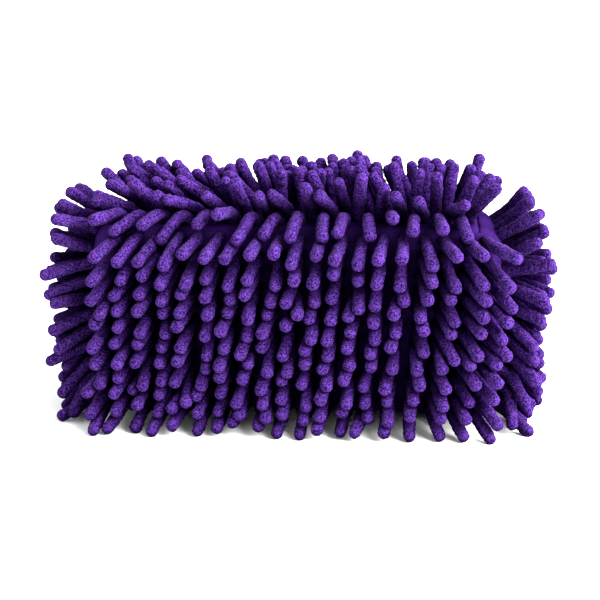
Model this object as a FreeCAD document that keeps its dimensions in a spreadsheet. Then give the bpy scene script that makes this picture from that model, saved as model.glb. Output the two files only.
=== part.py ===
import FreeCAD, Part
import math
import os
import random

import Sketcher
from FreeCAD import Vector

# A block-shaped wash mitt: a foam core in a boxed cover of chenille cloth, with soft noodles
# on five faces and a hand pocket on the plain back.
#
# Frame: +X along the mitt, -Y out of the large noodle face, +Z up, standing on a long narrow
# face. The origin is on the ground under the middle of the whole mitt. The cover is drawn
# about its own middle, and every sub-part's Placement shifts it to that origin.
# Lengths are in millimetres and angles in degrees.

SIZES = {
    "shift_x": 0.0,
    "shift_y": 3.0,
    "cover_length": 190.0,
    "cover_depth": 64.0,
    "cover_height": 87.0,
    "cover_bottom": 8.0,
    "corner_radius": 10.0,
    "cloth_thickness": 1.6,
    "seam_gap": 0.8,
    "thread_size": 0.6,
    "thread_inset": 0.4,
    "foam_clearance": 0.3,
    "noodle_radius": 2.8,
    "noodle_length": 29.0,
    "noodle_gap": 0.35,
    "noodle_root_sink": 0.3,
    "bend_share": 0.4,
    "least_bend_radius": 5.5,
    "column_pitch": 9.55,
    "row_pitch": 7.9,
    "first_row_drop": 4.0,
    "grain_slant": 4.5,
    "columns": 19,
    "rows": 11,
    "top_columns": 16,
    "top_column_pitch": 10.5,
    "top_rows": 8,
    "top_row_pitch": 7.72,
    "side_columns": 6,
    "side_column_pitch": 9.5,
    "bottom_rows": 5,
    "bottom_row_pitch": 11.0,
    "bottom_lean": 58.0,
    "crushed_depth": 0.5,
    "pocket_mouth_x": -88.0,
    "pocket_end_x": 86.0,
    "pocket_width": 80.0,
    "pocket_rise": 20.0,
    "pocket_end_rise": 0.8,
    "pocket_clearance": 0.1,
    "cuff_length": 14.0,
    "cuff_ply": 1.0,
    "cuff_clearance": 0.3,
    "panel_tuck": 2.0,
    "elastic_length": 9.0,
    "elastic_thickness": 1.2,
    "label_length": 24.0,
    "label_depth": 12.0,
    "label_thickness": 0.4,
    "label_x": 58.0,
}

doc = FreeCAD.newDocument("wash_mitt")
sheet = doc.addObject("Spreadsheet::Sheet", "Sizes")
for row, (alias, number) in enumerate(SIZES.items(), 1):
    sheet.set(f"A{row}", alias)
    sheet.set(f"B{row}", str(number))
    sheet.setAlias(f"B{row}", alias)
gauge = doc.addObject("App::FeaturePython", "Gauge")
gauge.addProperty("App::PropertyFloat", "Reading", "Sizes", "The value of a formula of the sheet")
doc.recompute()

parts = []


def bound(formula):
    """The formula with each of the sheet's words written as a reference to its cell."""
    words = sorted(SIZES, key=len, reverse=True)
    for number, word in enumerate(words):
        formula = formula.replace(word, f"<{number}>")
    for number, word in enumerate(words):
        formula = formula.replace(f"<{number}>", f"Sizes.{word}")
    return formula


def size(formula):
    """What a formula of the sheet's words comes to, as a plain number."""
    gauge.setExpression("Reading", bound(formula))
    gauge.recompute()
    return gauge.Reading


def finish_part(feature, label):
    """Name a sub-part and shift it from the cover's middle to the origin."""
    feature.Label = label
    feature.Placement = FreeCAD.Placement()
    feature.setExpression("Placement.Base.x", bound("shift_x"))
    feature.setExpression("Placement.Base.y", bound("shift_y"))
    parts.append(feature)


def sketch_on(body, plane, offset, name):
    """A sketch on one of the body's own origin planes, moved along the plane's normal."""
    sketch = body.newObject("Sketcher::SketchObject", name)
    support = next(f for f in body.Origin.OriginFeatures if f.Role == plane)
    sketch.AttachmentSupport = [(support, "")]
    sketch.MapMode = "FlatFace"
    sketch.setExpression("AttachmentOffset.Base.z", bound(offset))
    return sketch


def dimension(sketch, name, kind, *where, formula):
    """A named dimension of a sketch that follows a formula of the sheet's words."""
    value = size(formula)
    if kind == "Angle":
        value = math.radians(value)
    number = sketch.addConstraint(Sketcher.Constraint(kind, *where, value))
    sketch.renameConstraint(number, name)
    sketch.setExpression(f"Constraints.{name}", bound(formula))


def arc(centre_x, centre_y, radius, first, last):
    circle = Part.Circle(Vector(centre_x, centre_y, 0), Vector(0, 0, 1), radius)
    return Part.ArcOfCircle(circle, math.radians(first), math.radians(last))


def pad(body, sketch, depth, name):
    solid = body.newObject("PartDesign::Pad", name)
    solid.Profile = sketch
    solid.setExpression("Length", bound(depth))
    sketch.Visibility = False
    return solid


def rounded_block(name, inset, back, depth):
    """The cover's outline in the XZ plane, drawn in by inset and padded forward from back."""
    body = doc.addObject("PartDesign::Body", name)
    sketch = sketch_on(body, "XZ_Plane", f"-({back})", f"{name}_outline")
    length = f"cover_length - 2 * ({inset})"
    height = f"cover_height - 2 * ({inset})"
    bottom = f"cover_bottom + ({inset})"
    radius = f"corner_radius - ({inset})"
    half, low, tall, round_ = size(f"({length}) / 2"), size(bottom), size(height), size(radius)
    high = low + tall
    flat = half - round_
    corners = [
        (flat, low + round_, -90),
        (flat, high - round_, 0),
        (-flat, high - round_, 90),
        (-flat, low + round_, 180),
    ]
    ends = [
        (Vector(-flat, low, 0), Vector(flat, low, 0)),
        (Vector(half, low + round_, 0), Vector(half, high - round_, 0)),
        (Vector(flat, high, 0), Vector(-flat, high, 0)),
        (Vector(-half, high - round_, 0), Vector(-half, low + round_, 0)),
    ]
    for (start, end), (x, z, turn) in zip(ends, corners):
        sketch.addGeometry(Part.LineSegment(start, end))
        sketch.addGeometry(arc(x, z, round_, turn, turn + 90))
    for edge in range(8):
        sketch.addConstraint(Sketcher.Constraint("Tangent", edge, 2, (edge + 1) % 8, 1))
    for edge, kind in ((0, "Horizontal"), (2, "Vertical"), (4, "Horizontal"), (6, "Vertical")):
        sketch.addConstraint(Sketcher.Constraint(kind, edge))
    for corner in (3, 5, 7):
        sketch.addConstraint(Sketcher.Constraint("Equal", 1, corner))
    dimension(sketch, "round", "Radius", 1, formula=radius)
    dimension(sketch, "length", "DistanceX", 6, 1, 2, 1, formula=length)
    dimension(sketch, "half", "DistanceX", -1, 1, 2, 1, formula=f"({length}) / 2")
    dimension(sketch, "bottom", "DistanceY", -1, 1, 0, 1, formula=bottom)
    dimension(sketch, "height", "DistanceY", 0, 1, 4, 1, formula=height)
    pad(body, sketch, depth, f"{name}_pad")
    return body


def box(name, low, high):
    """A Part::Box between two corners given as formulas."""
    block = doc.addObject("Part::Box", name)
    for axis, side, start, end in zip("xyz", ("Length", "Width", "Height"), low, high):
        block.setExpression(side, bound(f"({end}) - ({start})"))
        block.setExpression(f"Placement.Base.{axis}", bound(start))
    return block


def boolean(kind, name, base, tool):
    result = doc.addObject(kind, name)
    result.Base = base
    result.Tool = tool
    return result


# --- Cover and core -------------------------------------------------------------------------

FRONT = "-cover_depth / 2"
BACK = "cover_depth / 2"
TOP = "cover_bottom + cover_height"
MIDDLE = "cover_bottom + cover_height / 2"
GUSSET_DEPTH = "cover_depth - 2 * (cloth_thickness + seam_gap)"
GUSSET_BACK = "cover_depth / 2 - cloth_thickness - seam_gap"


def foam_core():
    inset = "cloth_thickness + foam_clearance"
    depth = "cover_depth - 2 * (cloth_thickness + foam_clearance)"
    core = rounded_block("foam_core", inset, "cover_depth / 2 - cloth_thickness - foam_clearance", depth)
    finish_part(core, "foam_core")


def face_panels():
    """The large noodle cloth in front and the plain plush cloth behind."""
    front = rounded_block("front_panel", "0", "-cover_depth / 2 + cloth_thickness", "cloth_thickness")
    finish_part(front, "front_panel")
    back = rounded_block("back_panel", "0", BACK, "cloth_thickness")
    finish_part(back, "back_panel")


def gussets():
    """Four strips round the edge. The short ones take in the rounded corners."""
    outer = rounded_block("gusset_outside", "0", GUSSET_BACK, GUSSET_DEPTH)
    inner = rounded_block("gusset_inside", "cloth_thickness", GUSSET_BACK, GUSSET_DEPTH)
    band = boolean("Part::Cut", "gusset_band", outer, inner)
    flat = "cover_length / 2 - corner_radius"
    near, far = f"-({flat}) + seam_gap / 2", f"{flat} - seam_gap / 2"
    stretches = {
        "top_gusset": ((near, FRONT, MIDDLE), (far, BACK, f"{TOP} + 1")),
        "bottom_gusset": ((near, FRONT, "cover_bottom - 1"), (far, BACK, MIDDLE)),
        "left_gusset": (
            ("-cover_length", FRONT, "cover_bottom - 1"),
            (f"-({flat}) - seam_gap / 2", BACK, f"{TOP} + 1"),
        ),
        "right_gusset": (
            (f"{flat} + seam_gap / 2", FRONT, "cover_bottom - 1"),
            ("cover_length", BACK, f"{TOP} + 1"),
        ),
    }
    for name, (low, high) in stretches.items():
        stretch = box(f"{name}_stretch", low, high)
        finish_part(boolean("Part::Common", name, band, stretch), name)


def face_seams():
    """The thread of the two seams that run round the edge, in front and behind."""
    seams = {
        "front_seam_thread": "-cover_depth / 2 + cloth_thickness + (seam_gap + thread_size) / 2",
        "back_seam_thread": "cover_depth / 2 - cloth_thickness - (seam_gap - thread_size) / 2",
    }
    for name, back in seams.items():
        outer = rounded_block(f"{name}_outside", "thread_inset", back, "thread_size")
        inner = rounded_block(f"{name}_inside", "thread_inset + thread_size", back, "thread_size")
        finish_part(boolean("Part::Cut", name, outer, inner), name)


def corner_seams():
    """Four straight threads that join the gusset strips to each other."""
    threads = []
    heights = (f"cover_bottom + thread_inset + thread_size / 2", f"{TOP} - thread_inset - thread_size / 2")
    for side in ("-", ""):
        for height in heights:
            thread = doc.addObject("Part::Cylinder", "corner_thread")
            thread.Placement.Rotation = FreeCAD.Rotation(Vector(0, 0, 1), Vector(0, 1, 0))
            thread.setExpression("Radius", bound("thread_size / 2"))
            thread.setExpression("Height", bound(GUSSET_DEPTH))
            thread.setExpression("Placement.Base.x", bound(f"{side}(cover_length / 2 - corner_radius)"))
            thread.setExpression("Placement.Base.y", bound(f"-({GUSSET_DEPTH}) / 2"))
            thread.setExpression("Placement.Base.z", bound(height))
            threads.append(thread)
    group = doc.addObject("Part::Compound", "corner_seam_threads")
    group.Links = threads
    finish_part(group, "corner_seam_threads")


# --- Hand pocket ----------------------------------------------------------------------------


def arc_band(body, name, where, rise, inner, thickness):
    """A sketch across the mitt: a curved band that stands off the back face by rise.

    inner is how far the band's inner side lies outside the arc through the pocket's edges. Both
    ends of that inner side come down to the back face.
    """
    radius = f"((pocket_width / 2) ^ 2 + ({rise}) ^ 2) / (2 * ({rise}))"
    centre = f"cover_depth / 2 + pocket_clearance + ({rise}) - ({radius})"
    near, far = f"({radius}) + ({inner})", f"({radius}) + ({inner}) + ({thickness})"
    angle = f"2 * acos((({radius}) - ({rise})) / ({near}))"
    sketch = sketch_on(body, "YZ_Plane", where, name)
    middle = Vector(size(centre), size(MIDDLE), 0)
    half = size(angle) / 2
    up = Vector(math.cos(math.radians(half)), math.sin(math.radians(half)), 0)
    down = Vector(up.x, -up.y, 0)
    sketch.addGeometry(arc(middle.x, middle.y, size(near), -half, half))
    sketch.addGeometry(Part.LineSegment(middle + up * size(near), middle + up * size(far)))
    sketch.addGeometry(arc(middle.x, middle.y, size(far), -half, half))
    sketch.addGeometry(Part.LineSegment(middle + down * size(far), middle + down * size(near)))
    for joint in ((0, 2, 1, 1), (1, 2, 2, 2), (2, 1, 3, 1), (3, 2, 0, 1), (0, 3, 2, 3)):
        sketch.addConstraint(Sketcher.Constraint("Coincident", *joint))
    sketch.addConstraint(Sketcher.Constraint("PointOnObject", 0, 3, 1))
    sketch.addConstraint(Sketcher.Constraint("PointOnObject", 0, 3, 3))
    sketch.addConstraint(Sketcher.Constraint("Vertical", 0, 1, 0, 2))
    dimension(sketch, "near", "Radius", 0, formula=near)
    dimension(sketch, "far", "Radius", 2, formula=far)
    dimension(sketch, "span", "Angle", 0, formula=angle)
    dimension(sketch, "centre_y", "DistanceX", -1, 1, 0, 3, formula=centre)
    dimension(sketch, "centre_z", "DistanceY", -1, 1, 0, 3, formula=MIDDLE)
    return sketch


def pocket_panel():
    """The cloth over the hand: raised at the mouth, and flat where it is sewn down."""
    body = doc.addObject("PartDesign::Body", "pocket_panel")
    mouth_x = "pocket_mouth_x + cuff_length - panel_tuck"
    mouth = arc_band(body, "pocket_mouth", mouth_x, "pocket_rise", "0", "cloth_thickness")
    end = arc_band(body, "pocket_end", "pocket_end_x", "pocket_end_rise", "0", "cloth_thickness")
    doc.recompute()
    loft = body.newObject("PartDesign::AdditiveLoft", "pocket_loft")
    loft.Profile = mouth
    loft.Sections = [end]
    loft.Ruled = True
    finish_part(body, "pocket_panel")


def cuff():
    """A folded binding round the mouth, the elastic inside it and the thread that closes it."""
    ply = "cuff_ply"
    inside = "-cuff_clearance - cuff_ply"
    outside = "cloth_thickness + cuff_clearance"
    band = doc.addObject("PartDesign::Body", "cuff_band")
    whole = "cloth_thickness + 2 * (cuff_clearance + cuff_ply)"
    fold = arc_band(band, "cuff_fold", "pocket_mouth_x", "pocket_rise", inside, whole)
    pad(band, fold, ply, "cuff_fold_pad")
    for name, start in (("inner", inside), ("outer", outside)):
        sketch = arc_band(band, f"cuff_{name}", "pocket_mouth_x", "pocket_rise", start, ply)
        pad(band, sketch, "cuff_length", f"cuff_{name}_pad")
    finish_part(band, "cuff_band")

    elastic = doc.addObject("PartDesign::Body", "cuff_elastic")
    start = "(cloth_thickness - elastic_thickness) / 2"
    strip_x = "pocket_mouth_x + cuff_ply + 2 * cuff_clearance"
    strip = arc_band(elastic, "elastic_strip", strip_x, "pocket_rise", start, "elastic_thickness")
    pad(elastic, strip, "elastic_length", "elastic_pad")
    finish_part(elastic, "cuff_elastic")

    stitching = doc.addObject("PartDesign::Body", "cuff_stitching")
    stitch_x = "pocket_mouth_x + cuff_length - 3 * thread_size"
    surface = f"{outside} + {ply}"
    row = arc_band(stitching, "cuff_stitch_row", stitch_x, "pocket_rise", surface, "thread_size")
    pad(stitching, row, "thread_size", "cuff_stitch_pad")
    finish_part(stitching, "cuff_stitching")


def pocket_trim():
    """The thread across the pocket's closed end, and a blank care label in the back seam."""
    face = "cover_depth / 2 + pocket_clearance + pocket_end_rise + cloth_thickness"
    end_x = "pocket_end_x + 2 * thread_size"
    low = (end_x, "cover_depth / 2", "cover_bottom + corner_radius")
    high = (f"{end_x} + thread_size", face, f"{TOP} - corner_radius")
    finish_part_box("pocket_end_stitching", low, high)
    label_top = f"{TOP} - thread_inset"
    low = ("label_x", "cover_depth / 2", f"{label_top} - label_thickness")
    high = ("label_x + label_length", "cover_depth / 2 + label_depth", label_top)
    finish_part_box("care_label", low, high)


def finish_part_box(name, low, high):
    """A box sub-part: its corner is part of its Placement, with the shift added."""
    block = box(name, low, high)
    block.Label = name
    block.setExpression("Placement.Base.x", bound(f"{low[0]} + shift_x"))
    block.setExpression("Placement.Base.y", bound(f"{low[1]} + shift_y"))
    parts.append(block)


# --- Noodles --------------------------------------------------------------------------------

RADIUS = size("noodle_radius")
BEND_SHARE = size("bend_share")
LEAST_BEND = size("least_bend_radius")
HALF_LENGTH, HALF_DEPTH = size("cover_length / 2"), size("cover_depth / 2")
LOW, HIGH = size("cover_bottom"), size(TOP)
CORNER = size("corner_radius")
CRUSHED = size("crushed_depth")
chance = random.Random(11)

# How crossing noodles are pushed apart.
ROUNDS = 70
CHECK_STEP = 2.0
CELL = 2 * RADIUS + 0.6
PUSH = 0.35
MOST_PUSH = 3.0
WISH_PULL = 0.04


class Noodle:
    """A soft tuft: it leaves the cloth squarely, bends over, runs straight and ends round."""

    def __init__(self, root, normal, tilt_u, tilt_v, across, along, length):
        self.root = root - normal * size("noodle_root_sink")
        self.normal = normal
        self.length = length
        lean = math.radians(math.hypot(tilt_u, tilt_v))
        side = across * tilt_u + along * tilt_v
        side = side.normalize() if side.Length > 0 else across
        self.wish = normal * math.cos(lean) + side * math.sin(lean)
        self.aim(self.wish)

    def aim(self, direction):
        """Point the straight stretch along a direction and work out the bend below it."""
        self.direction = Vector(direction).normalize()
        self.bend = max(math.radians(1), self.normal.getAngle(self.direction))
        side = self.direction - self.normal * self.normal.dot(self.direction)
        self.side = side.normalize() if side.Length > 1e-6 else self.normal.cross(Vector(0.3, 0.5, 0.8))
        self.bend_radius = max(LEAST_BEND, BEND_SHARE * self.length / self.bend)
        self.straight = max(0.5, self.length - RADIUS - self.bend_radius * self.bend)
        self.bend_end = self.at(self.bend_radius * self.bend)
        self.tip = self.bend_end + self.direction * self.straight

    def at(self, distance):
        """The point of the centre line at a distance from the root."""
        turn = min(distance / self.bend_radius, self.bend)
        rise = self.bend_radius * math.sin(turn)
        shift = self.bend_radius * (1 - math.cos(turn))
        beyond = max(0.0, distance - self.bend_radius * self.bend)
        return self.root + self.normal * rise + self.side * shift + self.direction * beyond

    def reach_ground(self):
        """Crush the noodle between the cover and the ground, which flattens its end a little."""
        self.bend_radius = LEAST_BEND
        self.bend_end = self.at(self.bend_radius * self.bend)
        self.straight = (RADIUS - CRUSHED - self.bend_end.z) / self.direction.z
        self.length = self.bend_radius * self.bend + self.straight + RADIUS
        self.tip = self.bend_end + self.direction * self.straight

    def solid(self):
        disc = Part.Face(Part.Wire(Part.makeCircle(RADIUS, self.root, self.normal)))
        hub = self.root + self.side * self.bend_radius
        axis = self.normal.cross(self.side)
        bend = disc.revolve(hub, axis, math.degrees(self.bend))
        straight = Part.makeCylinder(RADIUS, self.straight, self.bend_end, self.direction)
        tip = Part.makeSphere(RADIUS, self.tip, self.direction, 0, 90, 360)
        noodle = bend.fuse([straight, tip])
        if self.tip.z < RADIUS - CRUSHED / 2:
            corner = self.tip + Vector(-2 * RADIUS, -2 * RADIUS, -self.tip.z - 2 * RADIUS)
            ground = Part.makeBox(4 * RADIUS, 4 * RADIUS, 2 * RADIUS, corner)
            noodle = noodle.cut(ground)
        return noodle


def ramp(points, at):
    """The value at a place on a line through a few (place, value) points."""
    if at <= points[0][0]:
        return points[0][1]
    for (start, first), (end, last) in zip(points, points[1:]):
        if at <= end:
            return first + (last - first) * (at - start) / (end - start)
    return points[-1][1]


# How the noodles are combed: (place, lean in degrees) along a face.
FRONT_SIDEWAYS = [(-90, -30), (-60, -20), (-35, -12), (-10, -3), (48, 0), (60, 8), (75, 20), (90, 34)]
FRONT_SIDEWAYS_LOW = [(-90, -14), (-60, -8), (0, -6), (40, -6), (50, -2), (62, 13), (75, 25), (90, 34)]
FRONT_DOWN = [(LOW, 22), (30, 26), (62, 26), (84, 24), (HIGH, 16)]
TOP_SIDEWAYS = [(-90, -60), (-50, -50), (-22, -24), (0, -8), (40, 0), (66, 12), (90, 56)]
TOP_SIDEWAYS_BACK = [(-90, -46), (-70, -38), (-35, -36), (0, -24), (22, -22), (45, -30), (74, 8), (88, 58)]
TOP_FORWARD = [(-27, 98), (-19, 50), (-10, 18), (0, 4), (27, -8)]
LEFT_DOWN = [(LOW, 50), (30, 38), (52, 14), (74, 0), (86, -18), (HIGH, -54)]
RIGHT_DOWN = [(LOW, 54), (30, 42), (52, 24), (72, 2), (84, -22), (HIGH, -50)]
SIDE_FORWARD = [(-24, 42), (0, 28), (24, 12)]
STRAY_SIDEWAYS = 4.5
STRAY_DOWN = 11
SIDE_STRAY = 16
TOP_STRAY = 20
LENGTH_SPREAD = 0.09

# How closely the upper combing of the front face keeps to its top rows.
UPPER_GRIP = 4


def jitter(most):
    return chance.uniform(-most, most)


def noodle_length():
    return size("noodle_length") * (1 + jitter(LENGTH_SPREAD))


def front_noodles():
    """Columns down the large face, on cloth whose grain runs a little askew."""
    rows, columns = int(size("rows")), int(size("columns"))
    slant = math.tan(math.radians(size("grain_slant")))
    strips = []
    for column in range(columns):
        strip = []
        for row in range(rows):
            z = HIGH - size("first_row_drop") - row * size("row_pitch") + jitter(0.4)
            x = (column - (columns - 1) / 2) * size("column_pitch")
            x += (z - (LOW + HIGH) / 2) * slant + jitter(0.5)
            share = ((z - LOW) / (HIGH - LOW)) ** UPPER_GRIP
            sideways = ramp(FRONT_SIDEWAYS, x) * share + ramp(FRONT_SIDEWAYS_LOW, x) * (1 - share)
            down = ramp(FRONT_DOWN, z)
            strip.append(
                Noodle(
                    Vector(x, -HALF_DEPTH, z),
                    Vector(0, -1, 0),
                    sideways + jitter(STRAY_SIDEWAYS),
                    down + jitter(STRAY_DOWN),
                    Vector(1, 0, 0),
                    Vector(0, 0, -1),
                    noodle_length(),
                )
            )
        strips.append(strip)
    return strips


def top_noodles():
    """Rows along the top: brushed over to the left, with the first row over the front edge."""
    rows, columns = int(size("top_rows")), int(size("top_columns"))
    strips = []
    for row in range(rows):
        y = (row - (rows - 1) / 2) * size("top_row_pitch")
        strip = []
        for column in range(columns):
            shift = 0.25 if row % 2 else -0.25
            x = (column - (columns - 1) / 2 + shift) * size("top_column_pitch") + jitter(0.4)
            here = y + jitter(0.4)
            share = row / (rows - 1)
            sideways = ramp(TOP_SIDEWAYS, x) * (1 - share) + ramp(TOP_SIDEWAYS_BACK, x) * share
            strip.append(
                Noodle(
                    Vector(x, here, HIGH),
                    Vector(0, 0, 1),
                    sideways + jitter(TOP_STRAY),
                    ramp(TOP_FORWARD, here) + jitter(TOP_STRAY),
                    Vector(1, 0, 0),
                    Vector(0, -1, 0),
                    noodle_length(),
                )
            )
        strips.append(strip)
    return strips


def outline_place(side, drop):
    """A place on the outline of a short face, and the way out of the cloth there.

    drop is measured down along the cloth from the face's middle, round the corners as well.
    """
    middle, flat = (LOW + HIGH) / 2, (HIGH - LOW) / 2 - CORNER
    past = abs(drop) - flat
    if past <= 0:
        return Vector(side * HALF_LENGTH, 0, middle - drop), Vector(side, 0, 0)
    turn = past / CORNER
    updown = -1 if drop > 0 else 1
    normal = Vector(side * math.cos(turn), 0, updown * math.sin(turn))
    hub = Vector(side * (HALF_LENGTH - CORNER), 0, middle + updown * flat)
    return hub + normal * CORNER, normal


def side_noodles(side, lean):
    """Columns down a short face: side is -1 on the left and 1 on the right."""
    rows, columns = int(size("rows")), int(size("side_columns"))
    strips = []
    for column in range(columns):
        y = (column - (columns - 1) / 2) * size("side_column_pitch")
        strip = []
        for row in range(rows):
            drop = (row - (rows - 1) / 2) * size("row_pitch") + jitter(0.4)
            root, normal = outline_place(side, drop)
            root.y = y + jitter(0.5)
            normal_rise = math.degrees(math.asin(normal.z))
            strip.append(
                Noodle(
                    root,
                    normal,
                    ramp(SIDE_FORWARD, root.y) + jitter(SIDE_STRAY),
                    ramp(lean, root.z) + normal_rise + jitter(SIDE_STRAY),
                    Vector(0, -1, 0),
                    Vector(side * normal.z, 0, -abs(normal.x)),
                    noodle_length(),
                )
            )
        strips.append(strip)
    return strips


def bottom_noodles():
    """Rows under the mitt, crushed short by its weight and leaning back."""
    rows, columns = int(size("bottom_rows")), int(size("top_columns"))
    strips = []
    for row in range(rows):
        y = (row - (rows - 1) / 2) * size("bottom_row_pitch")
        strip = []
        for column in range(columns):
            shift = 0.25 if row % 2 else -0.25
            x = (column - (columns - 1) / 2 + shift) * size("top_column_pitch")
            noodle = Noodle(
                Vector(x, y, LOW),
                Vector(0, 0, -1),
                jitter(6),
                size("bottom_lean"),
                Vector(1, 0, 0),
                Vector(0, 1, 0),
                LOW + RADIUS,
            )
            noodle.reach_ground()
            strip.append(noodle)
        strips.append(strip)
    return strips


def spread(noodles):
    """Turn crossing noodles apart at their roots, and keep them above the ground.

    The ones under the mitt stay where they stand.
    """
    apart = 2 * RADIUS + size("noodle_gap")
    for turn in range(ROUNDS):
        points = []
        for noodle in noodles:
            count = int((noodle.length - RADIUS) / CHECK_STEP)
            for number in range(1, count + 1):
                distance = noodle.length - RADIUS - (count - number) * CHECK_STEP
                points.append((noodle, distance / noodle.length, noodle.at(distance)))
        cells = {}
        for number, (_, _, place) in enumerate(points):
            cells.setdefault(cell_of(place), []).append(number)
        pushes = {id(noodle): Vector(0, 0, 0) for noodle in noodles}
        for number, (noodle, share, place) in enumerate(points):
            for other in neighbours(cells, place):
                other_noodle, other_share, other_place = points[other]
                if other <= number or other_noodle is noodle:
                    continue
                between = place - other_place
                overlap = apart - between.Length
                if overlap > 0:
                    push = between.normalize() * overlap * PUSH
                    pushes[id(noodle)] += push * share
                    pushes[id(other_noodle)] -= push * other_share
        calm = 1 - turn / ROUNDS
        for noodle in noodles:
            if noodle.normal.z < -0.9:
                continue
            push = pushes[id(noodle)]
            pull = (noodle.wish - noodle.direction) * WISH_PULL * calm
            if push.Length > MOST_PUSH:
                push = push.normalize() * MOST_PUSH
            noodle.aim(noodle.direction + push * (1 / noodle.length) + pull)
            lift = RADIUS - noodle.tip.z
            if lift > 0:
                noodle.aim(noodle.direction + Vector(0, 0, lift / noodle.straight))


def cell_of(place):
    return tuple(int(math.floor(value / CELL)) for value in place)


def neighbours(cells, place):
    """The numbers of the points in the cells round a place."""
    x, y, z = cell_of(place)
    for step_x in (-1, 0, 1):
        for step_y in (-1, 0, 1):
            for step_z in (-1, 0, 1):
                yield from cells.get((x + step_x, y + step_y, z + step_z), ())


def noodle_parts():
    """Each row or column of noodles is one sub-part, named after the face it grows from."""
    strips = {
        "front": front_noodles(),
        "top": top_noodles(),
        "left": side_noodles(-1, LEFT_DOWN),
        "right": side_noodles(1, RIGHT_DOWN),
        "bottom": bottom_noodles(),
    }
    spread([noodle for face in strips.values() for strip in face for noodle in strip])
    for face, columns in strips.items():
        for number, strip in enumerate(columns, 1):
            label = f"{face}_noodles_{number:02d}"
            feature = doc.addObject("Part::Feature", label)
            feature.Shape = Part.makeCompound([noodle.solid() for noodle in strip])
            finish_part(feature, label)
    return strips


foam_core()
face_panels()
gussets()
face_seams()
corner_seams()
pocket_panel()
cuff()
pocket_trim()
noodle_strips = noodle_parts()
doc.recompute()

# --- Check and write ------------------------------------------------------------------------

for feature in doc.Objects:
    bad = [word for word in feature.State if word in ("Invalid", "Error")]
    if bad:
        raise RuntimeError(f"{feature.Label} is {bad}: {feature.getStatusString()}")
for feature in parts:
    if feature.Shape.isNull() or not feature.Shape.isValid():
        raise RuntimeError(f"{feature.Label} has no valid shape")

os.makedirs("parts", exist_ok=True)
extent = FreeCAD.BoundBox()
for feature in parts:
    feature.Shape.exportStep(f"parts/{feature.Label}.step")
    extent.add(feature.Shape.BoundBox)
print(f"{len(parts)} sub-parts, {extent}")
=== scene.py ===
import math

import bmesh
import bpy
import numpy as np
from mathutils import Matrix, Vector, noise


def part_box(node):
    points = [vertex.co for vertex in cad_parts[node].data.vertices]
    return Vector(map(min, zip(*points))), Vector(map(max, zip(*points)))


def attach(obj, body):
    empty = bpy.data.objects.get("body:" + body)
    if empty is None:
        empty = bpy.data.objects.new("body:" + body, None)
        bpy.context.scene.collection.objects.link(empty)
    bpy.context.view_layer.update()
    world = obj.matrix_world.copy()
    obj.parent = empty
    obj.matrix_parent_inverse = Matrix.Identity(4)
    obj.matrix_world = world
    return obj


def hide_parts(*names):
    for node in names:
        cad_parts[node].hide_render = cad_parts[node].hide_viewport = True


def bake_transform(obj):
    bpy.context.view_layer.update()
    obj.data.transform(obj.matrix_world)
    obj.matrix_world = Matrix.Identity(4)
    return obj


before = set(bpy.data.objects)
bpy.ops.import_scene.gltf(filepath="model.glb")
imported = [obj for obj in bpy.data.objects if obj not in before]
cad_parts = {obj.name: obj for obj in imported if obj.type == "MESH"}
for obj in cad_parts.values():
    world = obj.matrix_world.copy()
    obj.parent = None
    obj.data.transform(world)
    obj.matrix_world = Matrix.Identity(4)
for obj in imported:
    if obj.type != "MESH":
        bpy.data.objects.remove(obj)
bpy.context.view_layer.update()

# A block-shaped wash mitt of violet chenille, standing on a long narrow face. Lengths are in
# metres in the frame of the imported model: +X along the mitt, -Y out of the large noodle face,
# +Z up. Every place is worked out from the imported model's nodes.

MM = 0.001
NODES = sorted(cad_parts)
MITT, POCKET = "mitt", "pocket"

FRONT_LOW, FRONT_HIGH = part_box("front_panel")
BACK_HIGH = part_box("back_panel")[1]
CENTRE_X = (FRONT_LOW.x + FRONT_HIGH.x) / 2
CENTRE_Z = (FRONT_LOW.z + FRONT_HIGH.z) / 2
HALF_X = (FRONT_HIGH.x - FRONT_LOW.x) / 2
HALF_Z = (FRONT_HIGH.z - FRONT_LOW.z) / 2
FACE_Y, BACK_Y = FRONT_LOW.y, BACK_HIGH.y
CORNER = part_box("left_gusset")[1].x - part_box("left_gusset")[0].x
EDGE_ROUND = 5.0 * MM
CLOTH = 1.3 * MM


# --- Meshes ---------------------------------------------------------------------------------


def mesh_piece(name, points, faces, material, smooth=True):
    """A mesh object from an array of points and a list of arrays of faces with 3 or 4 corners."""
    faces = [np.asarray(group, np.int32) for group in faces if len(group)]
    mesh = bpy.data.meshes.new(name)
    points = np.asarray(points, np.float32).reshape(-1, 3)
    corners = np.concatenate([group.ravel() for group in faces])
    totals = np.concatenate([np.full(len(group), group.shape[1], np.int32) for group in faces])
    mesh.vertices.add(len(points))
    mesh.vertices.foreach_set("co", points.ravel())
    mesh.loops.add(len(corners))
    mesh.loops.foreach_set("vertex_index", corners)
    mesh.polygons.add(len(totals))
    starts = np.concatenate([[0], np.cumsum(totals)[:-1]]).astype(np.int32)
    mesh.polygons.foreach_set("loop_start", starts)
    mesh.polygons.foreach_set("use_smooth", np.full(len(totals), smooth))
    mesh.update(calc_edges=True)
    mesh.validate()
    mesh.materials.append(material)
    piece = bpy.data.objects.new(name, mesh)
    bpy.context.scene.collection.objects.link(piece)
    return piece


def add_attribute(piece, name, values):
    attribute = piece.data.attributes.new(name, "FLOAT", "POINT")
    attribute.data.foreach_set("value", np.asarray(values, np.float32).ravel())


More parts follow.
